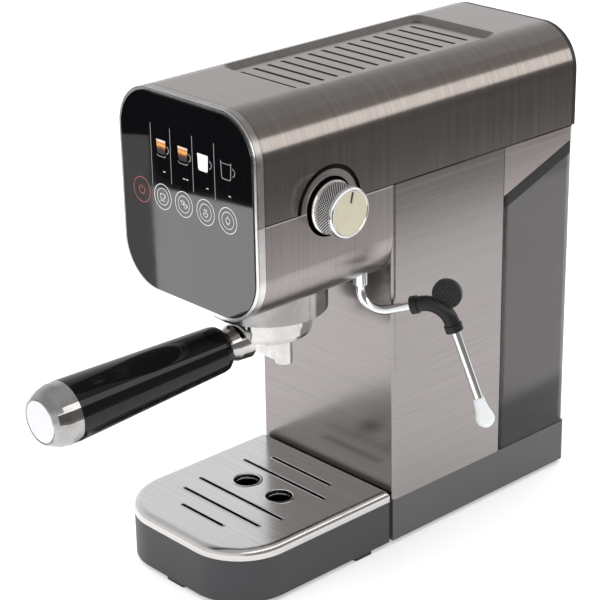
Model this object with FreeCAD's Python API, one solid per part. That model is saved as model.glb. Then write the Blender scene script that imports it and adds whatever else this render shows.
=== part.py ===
import FreeCAD, Part
import math
import os

V = FreeCAD.Vector
X = V(1, 0, 0)
Y = V(0, 1, 0)
Z = V(0, 0, 1)

# Espresso machine, millimetres. x = 0 is the centre plane, y = 0 the front of the touch panel,
# z = 0 the worktop. The finished pieces are moved so that the origin lies on the worktop, under
# the middle of the front rubber foot.

# ---- overall sizes
width = 130.0
foot_height = 3.0
base_height = 31.0            # plastic base, above the feet
column_front = 116.5          # front face of the steel column
tank_front = 222.5            # where the column ends and the water tank begins
rear_end = 294.5
head_clearance = 189.0        # underside of the brew head above the base's underside
seam_height = 257.0           # joint of cover and lower shell, above the base's underside
machine_height = 326.0        # top of the cover above the base's underside
cover_end = 290.5             # rear edge of the cover, where the vent panel closes it

# ---- walls and clearances
sheet = 1.0                   # steel covers
wall = 2.5                    # moulded plastic
gap = 0.3                     # between fixed neighbours
slide_gap = 0.5               # around parts that lift or slide out
bearing_gap = 0.05            # radial, shaft in its hole

# ---- head
corner_top = 30.0
corner_bottom = 33.0
bezel_depth = 7.5
bezel_wall = 2.2
panel_thickness = 3.0
recess_half = 39.0            # cup shelf pressed into the cover
recess_front = 62.0
recess_rear = 244.0
recess_depth = 3.2
recess_slope = 4.0
groove_count = 14
groove_half = 26.5
groove_front = 69.5
groove_pitch = 12.0
groove_width = 3.2

# ---- steam knob
knob_y = 61.0
knob_radius = 16.6
knob_stand_off = 18.5
knob_hole_radius = 19.5
tab_radius = 24.0
notch_radius = 27.0
spindle_radius = 3.0
needle_radius = 1.8
thread_pitch = 1.25

# ---- group and portafilter
group_y = 65.0
collar_wall = 5.5
collar_drop = 17.5            # how far the collar shows below the head
bowl_drop = 36.0              # underside of the bowl below the head
bowl_wall = 2.6
basket_radius = 25.5          # inside, for a 51 mm tamper
basket_depth = 21.0
basket_sheet = 0.6
basket_gap = 1.3              # room for the retaining spring
ear_reach = 3.4
ear_gap = 1.1                 # radial, from the ears to the collar
ear_height = 4.0
ear_angle = 34.0
spout_pitch = 30.0
spout_radius = 5.8
spout_bore = 3.4
spout_drop = 18.0
handle_droop = 1.5            # degrees below level
grip_start = 11.5             # along the handle's axis, from the bowl's wall
grip_length = 125.5
grip_radius_front = 20.6
grip_radius_back = 16.0
cap_length = 18.5
cap_face_radius = 15.0
rod_radius = 4.0

# ---- steam wand
wand_inset = 15.0             # from the head's side to the wand's axis
wand_y = 101.7
wand_heading = 30.0           # degrees from +X towards +Y
tube_radius = 3.0
tube_bore = 2.0
wand_drop = 22.0              # from the gland's lower end to the corner of the swan neck
wand_bend = 14.0
wand_rise = 17.0              # degrees above level
wand_reach = 55.4             # horizontal distance to the corner of the elbow
elbow_bend = 17.0
lower_tilt = 19.4             # degrees from vertical
lower_length = 80.0           # from the elbow's corner to the tube's end
tip_length = 21.0
tip_radius = 6.3
tip_grip = 9.0

# ---- drip tray and grate
tray_front = -24.5
tray_corner = 40.0
tray_gap = 1.0                # between tray and column base
grate_rise = 7.5              # grate surface above the tray's rim
grate_roll = 5.0
hole_radius = 9.1
hole_x = 16.4
hole_y = 56.6
slot_width = 2.4
slots = [(92.1, 29.3), (75.5, 41.0), (35.9, 41.9), (19.0, 38.4), (2.7, 21.2)]   # y, half length

# ---- water tank
hood_front_drop = 34.5        # bottom of the rear hood below the seam, at its front
hood_rear_drop = 8.5          # and at its rear
rear_corner = 5.0
tank_wall = 2.2
tank_skirt = 16.0             # the floor inside stands this far above the tank's lower edge
lid_height = 9.0
spigot_height = 25.0          # above the base
spigot_radius = 5.6
spigot_bore = 3.5
spigot_length = 14.0

# ---- derived places
half = width / 2
wand_x = half - wand_inset
bowl_radius = basket_radius + basket_sheet + basket_gap + bowl_wall
ear_radius = bowl_radius + ear_reach
collar_inner = ear_radius + ear_gap
collar_radius = collar_inner + collar_wall
base_z = foot_height
base_top = base_z + base_height
head_z = base_z + head_clearance
seam_z = base_z + seam_height
top_z = base_z + machine_height
collar_z = head_z - collar_drop
bowl_z = head_z - bowl_drop
ear_z = collar_z + 4.7
rim_z = ear_z + ear_height + 1.0
grate_z = base_top + grate_rise
wand_out = V(math.cos(math.radians(wand_heading)), math.sin(math.radians(wand_heading)), 0)
origin_y = column_front + 17.5
hood_front_z = seam_z - hood_front_drop
hood_rear_z = seam_z - hood_rear_drop
spigot_z = base_top + spigot_height

parts = {}


# ---- shape helpers
def box(x0, x1, y0, y1, z0, z1):
    return Part.makeBox(x1 - x0, y1 - y0, z1 - z0, V(x0, y0, z0))


def cyl(radius, length, start, direction=Z):
    return Part.makeCylinder(radius, length, start, direction)


def tube_piece(outer, inner, length, start, direction=Z):
    bore = cyl(inner, length + 2, start - direction * 1.0, direction)
    return cyl(outer, length, start, direction).cut(bore)


def rounded_wire(corners, closed=True):
    """Straight runs joined by tangent arcs; corners are (point, radius)."""
    count = len(corners)
    edges = []
    last = None
    first = None
    for i, (point, radius) in enumerate(corners):
        if not closed and i in (0, count - 1) or radius == 0:
            start = end = point
        else:
            before = (corners[i - 1][0] - point).normalize()
            after = (corners[(i + 1) % count][0] - point).normalize()
            turn = before.getAngle(after) / 2
            middle = (before + after).normalize()
            start = point + before * (radius / math.tan(turn))
            end = point + after * (radius / math.tan(turn))
            crown = point + middle * (radius / math.sin(turn) - radius)
        if last is not None and (start - last).Length > 1e-6:
            edges.append(Part.LineSegment(last, start).toShape())
        if (end - start).Length > 1e-6:
            edges.append(Part.Arc(start, crown, end).toShape())
        if first is None:
            first = start
        last = end
    if closed and (first - last).Length > 1e-6:
        edges.append(Part.LineSegment(last, first).toShape())
    return Part.Wire(edges)


def plate(corners, depth):
    """Closed outline of (point, radius) corners, extruded along the vector depth."""
    return Part.Face(rounded_wire(corners)).extrude(depth)


def plan(x0, x1, y0, y1, z0, z1, r_front=0.0, r_rear=0.0):
    corners = [(V(x0, y0, z0), r_front), (V(x1, y0, z0), r_front),
               (V(x1, y1, z0), r_rear), (V(x0, y1, z0), r_rear)]
    return plate(corners, V(0, 0, z1 - z0))


def section(x1, z0, z1, y0, y1, r_low, r_high):
    """Symmetric head section in XZ, extruded from y0 to y1."""
    corners = [(V(-x1, y0, z0), r_low), (V(x1, y0, z0), r_low),
               (V(x1, y0, z1), r_high), (V(-x1, y0, z1), r_high)]
    return plate(corners, V(0, y1 - y0, 0))


def turned(profile, base, direction):
    """Solid of revolution: profile is a list of (distance along axis, radius)."""
    points = [V(r, 0, d) for d, r in profile]
    solid = Part.Face(Part.makePolygon(points + points[:1])).revolve(V(0, 0, 0), Z, 360)
    solid.Placement = FreeCAD.Placement(base, FreeCAD.Rotation(Z, direction))
    return solid


def pipe(corners, outer, inner=None):
    """Round tube along straight runs and arcs."""
    path = rounded_wire(corners, closed=False)
    start = corners[0][0]
    ahead = corners[1][0] - start
    result = None
    for radius in (outer, inner):
        if radius is None:
            continue
        ring = Part.Wire(Part.makeCircle(radius, start, ahead))
        solid = path.makePipeShell([ring], True, False)
        result = solid if result is None else result.cut(solid)
    return result


def slot_cut(x0, x1, y, width_y, z0, z1):
    r = width_y / 2
    return plan(x0, x1, y - r, y + r, z0, z1, r * 0.999, r * 0.999)


def screw(point, direction, shank, length, head, head_height):
    """Pan-head screw whose head bears at point; direction runs into the hole."""
    body = cyl(shank, length, point, direction)
    cap = cyl(head, head_height, point - direction * head_height, direction)
    slot = box(-head, head, -0.5, 0.5, -0.1, head_height * 0.5)
    slot.Placement = FreeCAD.Placement(point - direction * head_height,
                                       FreeCAD.Rotation(Z, direction))
    return body.fuse(cap).cut(slot)


def slope_z(y, drop=0.0):
    """Underside of the rear hood at y, lowered by drop."""
    rise = (hood_rear_z - hood_front_z) / (rear_end - tank_front)
    return hood_front_z + rise * (y - tank_front) - drop


def below_slope(drop, y0=None, y1=None):
    """Everything under the hood's sloping line, lowered by drop."""
    y0 = tank_front - 20 if y0 is None else y0
    y1 = rear_end + 20 if y1 is None else y1
    corners = [(V(-width, y0, -10), 0), (V(-width, y1, -10), 0),
               (V(-width, y1, slope_z(y1, drop)), 0), (V(-width, y0, slope_z(y0, drop)), 0)]
    return plate(corners, V(2 * width, 0, 0))


def add(name, shape):
    if not shape.isValid():
        print("invalid", name)
    parts[name] = shape.removeSplitter()


# ---- base
screw_spots = [(sx * (half - 12), y) for sx in (-1, 1) for y in (column_front + 12, rear_end - 14)]


def make_base():
    plate_z = base_z + 2
    outer = plan(-half, half, column_front, rear_end, base_z, base_top, 0, rear_corner - 2)
    inner = plan(-half + wall, half - wall, column_front + wall, rear_end - wall,
                 base_z - 1, base_top - wall, 0, rear_corner - 2 - wall)
    housing = outer.cut(inner)
    for x, y in screw_spots:
        post = cyl(4.0, base_top - wall - plate_z, V(x, y, plate_z))
        housing = housing.fuse(post).cut(cyl(1.5, 15, V(x, y, plate_z - 1)))
    for sx in (-1, 1):                                  # sockets for the tray's tongues
        housing = housing.cut(box(sx * 35 - tongue_half - slide_gap, sx * 35 + tongue_half + slide_gap,
                                  column_front - 1, column_front + wall + 1,
                                  tongue_z - slide_gap, tongue_z + tongue_height + slide_gap))
    housing = housing.cut(cyl(gland_radius + gap, wall + 2, V(gland_x, rear_end - wall - 1, gland_z), Y))
    housing = housing.cut(box(-30, 30, column_front + 20, tank_front - 20, base_top - wall - 1, base_top + 1))
    add("base_housing", housing)

    fit = wall + gap
    bottom = plan(-half + fit, half - fit, column_front + fit, rear_end - fit, base_z, plate_z,
                  0, rear_corner - 2 - wall)
    for x, y in screw_spots:
        bottom = bottom.cut(cyl(1.7, 4, V(x, y, base_z - 1)))
    for i in range(7):
        y = column_front + 50 + 9 * i
        bottom = bottom.cut(slot_cut(-22, 22, y, 3, base_z - 1, plate_z + 1))
    add("base_plate", bottom)

    screws = [screw(V(x, y, base_z), Z, 1.45, 12, 3.0, 1.6) for x, y in screw_spots]
    add("base_screws", Part.makeCompound(screws))
    feet = []
    for y in (origin_y, rear_end - 28):
        foot = plan(-44, 44, y - 8, y + 8, 0, foot_height, 7.9, 7.9)
        feet.append(foot)
    add("base_feet", Part.makeCompound(feet))


tongue_half = 8.0
tongue_z = base_z + 9
tongue_height = 6.0
gland_radius = 6.0
gland_bore = 3.6
gland_x = -42.0
gland_z = base_z + 15


def make_gland():
    back = rear_end - wall - 2
    body = cyl(gland_radius, wall + 2, V(gland_x, back, gland_z), Y)
    flange = cyl(gland_radius + 2.5, 1.5, V(gland_x, rear_end, gland_z), Y)
    nut = cyl(gland_radius + 2, 1.8, V(gland_x, back - 1.8, gland_z), Y)
    gland = body.fuse(flange).fuse(nut)
    add("cable_gland", gland.cut(cyl(gland_bore, 20, V(gland_x, back - 5, gland_z), Y)))


# ---- column
def make_column():
    top = seam_z - gap
    rear = tank_front - 0.5
    outer = plan(-half, half, column_front, rear, base_top, top, 2.5, 0)
    inner = plan(-half + sheet, half - sheet, column_front + sheet, rear + 1, base_top - 1, top + 1, 1.5, 0)
    shell = outer.cut(inner)
    window = box(-half + 16, half - 16, column_front - 1, column_front + 3, head_z + 10, top + 1)
    shell = shell.cut(window)
    add("column_shell", shell)

    inside = half - sheet - gap
    back = rear - wall
    board = box(-inside, inside, back, rear, base_top, top)
    for x in (-inside, inside - wall):
        board = board.fuse(box(x, x + wall, back - 12, back, base_top, top))
    collar = cyl(spigot_radius + 3.4, 14, V(0, back - 14, spigot_z), Y)
    board = board.fuse(collar)
    board = board.cut(cyl(spigot_radius + bearing_gap, 11 + wall + 1, V(0, back - 11, spigot_z), Y))
    board = board.cut(cyl(3.0, 10, V(0, back - 18, spigot_z), Y))
    board = board.cut(box(-18, 18, back - 1, rear + 1, seam_z - 28, seam_z - 8))
    add("column_back", board)


# ---- head
def make_head():
    z_low = seam_z - gap / 2
    outer = section(half, head_z, top_z, bezel_depth, column_front - gap, corner_bottom, corner_top)
    inner = section(half - sheet, head_z + sheet, top_z - sheet, bezel_depth - 1, column_front + 1,
                    corner_bottom - sheet, corner_top - sheet)
    keep = box(-width, width, -1, rear_end, 0, z_low)
    shell = outer.cut(inner).common(keep)
    tab = cyl(tab_radius, sheet, V(half - sheet, knob_y, seam_z), X).cut(keep)
    shell = shell.fuse(tab)
    shell = shell.cut(cyl(knob_hole_radius, 6, V(half - 3, knob_y, seam_z), X))
    shell = shell.cut(cyl(collar_radius + gap, 30, V(0, group_y, head_z - 10)))
    shell = shell.cut(cyl(gland_nut + gap, 40, V(wand_x, wand_y, head_z - 5)))
    add("head_shell", shell)

    high = seam_z + gap / 2
    outer = section(half, head_z, top_z, bezel_depth, cover_end, corner_bottom, corner_top)
    inner = section(half - sheet, head_z + sheet, top_z - sheet, bezel_depth - 1, cover_end + 1,
                    corner_bottom - sheet, corner_top - sheet)
    keep = box(-width, width, -1, rear_end + 5, high, top_z + 1)
    cover = outer.cut(inner).common(keep)
    pan = recess_block(sheet).common(outer)
    cover = cover.fuse(pan).cut(recess_block(0))
    for i in range(groove_count):
        y = groove_front + groove_pitch * i
        floor = top_z - recess_depth
        cover = cover.cut(slot_cut(-groove_half, groove_half, y, groove_width, floor - 0.6, floor + 1))
    notch = cyl(notch_radius, 6, V(half - 4, knob_y, seam_z), X)
    add("top_cover", cover.cut(notch))

    inside = half - sheet - gap
    liner = cyl(notch_radius + 3, 1.5, V(inside - 1.5, knob_y, seam_z + 1), X)
    liner = liner.cut(cyl(knob_hole_radius, 6, V(inside - 3, knob_y, seam_z), X))
    add("knob_well", liner.common(box(0, half, 0, 200, seam_z - 40, seam_z + 40)))


def recess_block(grow):
    """Tapered block of the pressed cup shelf, grown by the sheet's thickness."""
    wires = []
    for rise, spread in ((-recess_depth - grow, -recess_slope), (2.0, recess_slope * 2.0 / recess_depth)):
        x = recess_half + spread + grow
        y0 = recess_front - spread - grow
        y1 = recess_rear + spread + grow
        z = top_z + rise
        corners = [(V(-x, y0, z), 8 + spread), (V(x, y0, z), 8 + spread),
                   (V(x, y1, z), 8 + spread), (V(-x, y1, z), 8 + spread)]
        wires.append(rounded_wire(corners))
    return Part.makeLoft(wires, True, True)


# ---- touch panel and its frame
def make_front():
    depth = bezel_depth - gap
    outer = section(half, head_z, top_z, 0.8, depth, corner_bottom, corner_top)
    inner = section(half - bezel_wall, head_z + bezel_wall, top_z - bezel_wall, 0, bezel_depth,
                    corner_bottom - bezel_wall, corner_top - bezel_wall)
    frame = outer.cut(inner)
    add("front_frame_upper", frame.common(box(-width, width, -1, 20, seam_z + 0.1, top_z + 1)))
    add("front_frame_lower", frame.common(box(-width, width, -1, 20, head_z - 1, seam_z - 0.1)))
    inset = bezel_wall + gap
    add("touch_panel", section(half - inset, head_z + inset, top_z - inset, 0, panel_thickness,
                               corner_bottom - inset, corner_top - inset))
    back = panel_thickness + 0.2
    carrier = section(half - inset, head_z + inset, top_z - inset, back, back + 2.2,
                      corner_bottom - inset, corner_top - inset)
    carrier = carrier.cut(box(-46, 46, back - 1, back + 5, seam_z - 46, seam_z - 20))
    bosses = [V(sx * 40, back + 2.2, seam_z + dz) for sx in (-1, 1) for dz in (-14, 30)]
    for spot in bosses:
        carrier = carrier.fuse(cyl(3.5, 4, spot, Y))
    for spot in bosses:
        carrier = carrier.cut(cyl(1.2, 5.5, spot - Y * 1.5, Y))
    add("panel_carrier", carrier)
    board_y = back + 2.2 + 4
    board = box(-46, 46, board_y, board_y + 1.6, seam_z - 20, seam_z + 36)
    for spot in bosses:
        board = board.cut(cyl(1.4, 6, V(spot.x, board_y - 1, spot.z), Y))
    for i in range(5):
        pad = cyl(6, 1.0, V(-44.6 + 21 * i if i else -40, board_y + 1.6, seam_z), Y)
        board = board.fuse(pad)
    add("control_board", board)


# ---- rear of the head and hood over the tank
def make_rear():
    inset = sheet + gap
    rim = 0.4
    face = section(half - rim, head_z, top_z - rim, cover_end + gap, rear_end,
                   corner_bottom, corner_top - rim)
    flange = section(half - inset, head_z, top_z - inset, cover_end - 6, cover_end + gap,
                     corner_bottom, corner_top - inset)
    hollow = section(half - inset - 2, head_z, top_z - inset - 2, cover_end - 7, cover_end + gap,
                     corner_bottom, corner_top - inset - 2)
    keep = box(-width, width, 0, rear_end + 5, seam_z + gap, top_z + 1)
    panel = face.fuse(flange.cut(hollow)).common(keep)
    for i in range(8):
        z = seam_z + 16 + 6 * i
        panel = panel.cut(box(-34, 34, cover_end - 1, rear_end + 1, z, z + 2.6))
    spots = [V(sx * (half - 12), rear_end - 1.4, seam_z + dz) for sx in (-1, 1) for dz in (10, 46)]
    for spot in spots:
        panel = panel.cut(cyl(3.1, 3, spot, Y)).cut(cyl(1.6, 12, spot - Y * 10, Y))
    add("rear_panel", panel)
    screws = [screw(spot, -Y, 1.45, 9, 2.9, 1.3) for spot in spots]
    add("rear_screws", Part.makeCompound(screws))

    top = seam_z - gap
    outer = plan(-half, half, tank_front, rear_end, hood_front_z - 20, top, 0, rear_corner)
    inner = plan(-half + sheet, half - sheet, tank_front - 1, rear_end - sheet, hood_front_z - 25, top + 1,
                 0, rear_corner - sheet)
    add("rear_hood", outer.cut(inner).cut(below_slope(0)))
    edge = sheet + gap
    floor = plan(-half + edge, half - edge, tank_front, rear_end - edge, hood_front_z - 20, top,
                 0, rear_corner - edge)
    floor = floor.cut(below_slope(0)).common(below_slope(-2.2))
    posts = [cyl(3.5, 60, V(sx * (half - 12), rear_end - 12, seam_z - 60)) for sx in (-1, 1)]
    for post in posts:
        floor = floor.fuse(post.cut(below_slope(0)).common(box(-width, width, 0, 400, 0, top - 1)))
    add("hood_floor", floor)


# ---- water tank
def tank_outline(inset, z0, z1):
    front = tank_front + 1.0
    return plan(-half + 0.3 + inset, half - 0.3 - inset, front + inset, rear_end - 0.4 - inset, z0, z1,
                3.0 - min(inset, 2.5), rear_corner - inset)


pocket_half = 32.0
pocket_depth = 16.0
pocket_height = 11.0


def make_tank():
    bottom = base_top + slide_gap
    lid_drop = slide_gap + 0.3
    body = tank_outline(0, bottom, top_z).common(below_slope(lid_drop + lid_height))
    hollow = tank_outline(tank_wall, bottom + tank_skirt, top_z)
    under = tank_outline(tank_wall, bottom - 1, bottom + tank_skirt - tank_wall)
    body = body.cut(hollow).cut(under)
    nose = tank_front + 1.0
    spigot = cyl(spigot_radius - 0.1, spigot_length, V(0, nose - spigot_length, spigot_z), Y)
    body = body.fuse(spigot)
    body = body.cut(cyl(spigot_bore, spigot_length + 5, V(0, nose - spigot_length - 1, spigot_z), Y))
    groove = tube_piece(spigot_radius + 1, spigot_radius - 1.4, 2.2, V(0, nose - 9, spigot_z), Y)
    body = body.cut(groove)
    rear = rear_end - 0.4
    x1 = pocket_half + tank_wall
    y1 = rear - pocket_depth - tank_wall
    z2 = min(slope_z(rear - tank_wall, lid_drop + lid_height), slope_z(y1, lid_drop + tank_wall)) - gap
    z1 = z2 - pocket_height - 2 * tank_wall
    body = body.cut(box(-x1 - 0.2, x1 + 0.2, rear - tank_wall - 1, rear + 1, z1 - 0.2, z2 + 0.2))
    add("tank_body", body)
    ring = turned([(0, spigot_radius - 1.3), (0, spigot_radius - 0.02), (1.8, spigot_radius - 0.02),
                   (1.8, spigot_radius - 1.3)], V(0, nose - 8.8, spigot_z), Y)
    add("tank_seal", ring)

    lid = tank_outline(0, bottom, top_z).common(below_slope(lid_drop))
    lid = lid.cut(below_slope(lid_drop + lid_height - 0.2))
    hollow = tank_outline(tank_wall, bottom, top_z).common(below_slope(lid_drop + tank_wall))
    lid = lid.cut(hollow)
    add("tank_lid", lid)

    cup = box(-x1, x1, y1, rear, z1, z2)
    cup = cup.cut(box(-pocket_half, pocket_half, y1 + tank_wall, rear + 1, z1 + tank_wall, z2 - tank_wall))
    add("tank_grip", cup)


# ---- group
def ear_sector(inner, outer, z0, height, angle, centre_angle):
    """Part of a flat ring about the group's axis."""
    ring = tube_piece(outer, inner, height, V(0, group_y, z0))
    reach = 2 * outer
    a0 = math.radians(centre_angle - angle / 2)
    a1 = math.radians(centre_angle + angle / 2)
    c = V(0, group_y, z0 - 1)
    points = [c, c + V(math.cos(a0), math.sin(a0), 0) * reach, c + V(math.cos(a1), math.sin(a1), 0) * reach]
    wedge = Part.Face(Part.makePolygon(points + points[:1])).extrude(V(0, 0, height + 2))
    return ring.common(wedge)


rim_radius = basket_radius + 3.6
head_face_z = rim_z + 0.8 + 0.4 + 5.0       # casting's underside, above basket rim and gasket


def make_group():
    c = V(0, group_y, 0)
    top = head_face_z + 6
    collar = tube_piece(collar_radius, collar_inner, top - collar_z, c + Z * collar_z)
    for centre in (0, 180):
        lug = ear_sector(bowl_radius + 0.6, collar_inner + 1, collar_z, ear_z - collar_z - 0.3, 60, centre)
        collar = collar.fuse(lug)
    add("group_collar", collar)

    casting_radius = collar_inner - gap
    casting = cyl(casting_radius, 14, c + Z * head_face_z)
    casting = casting.fuse(cyl(collar_radius + 1.0, 4, c + Z * (top + 0.2)))
    casting = casting.fuse(cyl(18, 3, c + Z * (head_face_z - 3)))
    casting = casting.cut(cyl(2.0, 12, c + Z * (head_face_z - 4)))
    casting = casting.cut(cyl(3.2, 12, c + V(12, 0, head_face_z + 4)))
    add("group_head", casting)
    add("group_gasket", tube_piece(rim_radius + 1.5, rim_radius - 4.5, 4.8, c + Z * (rim_z + 1.1)))
    screen_z = head_face_z - 3 - 0.8
    screen = cyl(22, 0.7, c + Z * screen_z)
    for ring_radius, count in ((6.5, 6), (11.5, 12), (16.5, 18)):
        for i in range(count):
            a = 2 * math.pi * i / count
            hole = c + V(ring_radius * math.cos(a), ring_radius * math.sin(a), screen_z - 1)
            screen = screen.cut(cyl(0.9, 3, hole))
    screen = screen.cut(cyl(2.6, 3, c + Z * (screen_z - 1)))
    add("shower_screen", screen)
    add("shower_screw", screw(c + Z * screen_z, Z, 1.9, 9, 4.2, 1.6))


# ---- boiler, pump and plumbing
boiler_half = 36.0
boiler_front = 32.0
boiler_rear = 98.0
boiler_height = 34.0


def make_boiler():
    z0 = head_face_z + 14.2
    z1 = z0 + boiler_height
    block = plan(-boiler_half, boiler_half, boiler_front, boiler_rear, z0, z1, 10, 10)
    channel = plan(-boiler_half + 8, boiler_half - 8, boiler_front + 8, boiler_rear - 8, z0 + 8, z1 + 1, 6, 6)
    block = block.cut(channel)
    for i in range(5):
        y = boiler_front + 17 + 8 * i
        block = block.fuse(box(-boiler_half + 7, boiler_half - 7, y - 1, y + 1, z0 + 7, z0 + 20))
    spots = [V(sx * (boiler_half - 4.2), y, z1) for sx in (-1, 1)
             for y in (boiler_front + 12, (boiler_front + boiler_rear) / 2, boiler_rear - 12)]
    lid = plan(-boiler_half, boiler_half, boiler_front, boiler_rear, z1, z1 + 5.5, 10, 10)
    for spot in spots:
        block = block.cut(cyl(1.5, 12, spot - Z * 11))
        lid = lid.cut(cyl(1.7, 8, spot - Z))
    port = V(12, group_y, z0)
    block = block.cut(cyl(3.0, 12, port - Z * 2))
    outlet = V(boiler_half, knob_y, z0 + 26)
    block = block.cut(cyl(2.05, 14, outlet - X * 12, X))
    inlet = V(-20, boiler_rear, z0 + 18)
    block = block.cut(cyl(2.05, 14, inlet - Y * 12, Y))
    add("boiler_block", block)
    add("boiler_lid", lid)
    bolts = [screw(spot + Z * 5.5, -Z, 1.45, 14, 2.8, 2.2) for spot in spots]
    add("boiler_bolts", Part.makeCompound(bolts))
    return outlet, inlet


pump_y = 168.0
pump_z = 92.0
valve_reach = 40.0            # from the head's side to the valve's inner end
valve_inlet = 16.0            # steam inlet along the valve


def make_pump():
    c = V(0, pump_y, 0)
    coil = plan(-22, 22, pump_y - 20, pump_y + 20, pump_z, pump_z + 46, 3, 3)
    coil = coil.cut(cyl(9.3, 60, c + Z * (pump_z - 5)))
    add("pump_coil", coil)
    core = cyl(9.0, 62, c + Z * (pump_z - 8))
    core = core.fuse(cyl(6.5, 14, c + Z * (pump_z + 54)))
    core = core.fuse(cyl(5.0, 12, c + Z * (pump_z - 20)))
    core = core.cut(cyl(2.2, 100, c + Z * (pump_z - 21)))
    add("pump_core", core)
    mount_z = pump_z - 8.2
    bracket = box(-30, 30, pump_y - 12, pump_y + 12, mount_z - 2, mount_z)
    for sx in (-1, 1):
        x = sx * 30
        bracket = bracket.fuse(box(min(x, x - sx * 2), max(x, x - sx * 2), pump_y - 12, pump_y + 12,
                                   base_top, mount_z))
        foot = box(min(x, x + sx * 12), max(x, x + sx * 12), pump_y - 12, pump_y + 12, base_top, base_top + 2)
        bracket = bracket.fuse(foot)
    bracket = bracket.cut(cyl(5.6, 6, c + Z * (mount_z - 4)))
    add("pump_bracket", bracket)
    return c + Z * (pump_z - 20), c + Z * (pump_z + 68)


def make_plumbing(pump_in, pump_out, boiler_out, boiler_in):
    back = tank_front - 0.5 - wall
    start = V(0, back - 14, spigot_z)
    bend = 7.0
    hose = pipe([(start, 0), (V(0, pump_y, spigot_z), bend), (pump_in, 0)], 4.2, 2.4)
    add("suction_hose", hose)
    rise_z = boiler_in.z
    route = [(pump_out, 0), (V(0, pump_y, rise_z), 12), (V(boiler_in.x, boiler_rear + 28, rise_z), 12),
             (boiler_in, 0)]
    add("pressure_hose", pipe(route, 3.0, 1.6))
    inlet_x = half - valve_reach + valve_inlet
    steam = [(boiler_out - X * 6, 0), (V(inlet_x, knob_y, boiler_out.z), 3),
             (V(inlet_x, knob_y, seam_z - 9), 0)]
    add("steam_pipe", pipe(steam, 2.0, 1.2))


def make_valve():
    left = half - valve_reach
    right = half - sheet - 3
    body = box(left, right, knob_y - 9, knob_y + 9, seam_z - 9, seam_z + 9)
    body = body.cut(cyl(spindle_radius + bearing_gap, 40, V(left + 17, knob_y, seam_z), X))
    body = body.cut(cyl(needle_radius + bearing_gap, 16.5, V(left + 1, knob_y, seam_z), X))
    body = body.cut(cyl(2.05, 6, V(left + valve_inlet, knob_y, seam_z - 10)))
    outlet = V(left + 6, knob_y + 9, seam_z)
    body = body.cut(cyl(2.05, 8, outlet - Y * 7, Y))
    add("steam_valve", body)
    needle = turned([(0, 0), (3, needle_radius), (12, needle_radius), (12, 0)],
                    V(left + 3, knob_y, seam_z), X)
    add("valve_needle", needle)
    face = half + knob_stand_off
    spindle = cyl(spindle_radius, face - 6 - (left + 18), V(left + 18, knob_y, seam_z), X)
    add("valve_spindle", spindle)
    elbow_top = gland_top + 10
    route = [(outlet - Y * 5, 0), (V(outlet.x, wand_y, seam_z), 8), (V(wand_x, wand_y, seam_z - 8), 5),
             (V(wand_x, wand_y, elbow_top), 0)]
    add("wand_pipe", pipe(route, 2.0, 1.2))


def make_knob():
    c = V(0, knob_y, seam_z)
    back = half + 0.8
    face = half + knob_stand_off
    knob = turned([(0, 0), (0, knob_radius + 0.8), (2.0, knob_radius + 0.8), (2.6, knob_radius),
                   (face - back - 1.2, knob_radius - 0.4), (face - back, knob_radius - 1.2),
                   (face - back, knob_radius - 2.2), (face - back - 0.9, knob_radius - 2.2),
                   (face - back - 0.9, 0)], c + X * back, X)
    knob = knob.cut(cyl(spindle_radius + 0.02, face - back - 4.5, c + X * (back - 1), X))
    add("steam_knob", knob)
    dial = cyl(knob_radius - 2.4, 0.7, c + X * (face - 0.9), X)
    mark = box(-0.2, 0.35, -1.2, 1.2, 6.2, 12.6)
    mark.Placement = FreeCAD.Placement(c + X * (face - 0.2), FreeCAD.Rotation(X, -12))
    add("knob_dial", dial.cut(mark))


# ---- portafilter
droop = math.radians(handle_droop)
handle_dir = V(0, -math.cos(droop), -math.sin(droop))
handle_root = V(0, group_y - bowl_radius, bowl_z)


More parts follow.
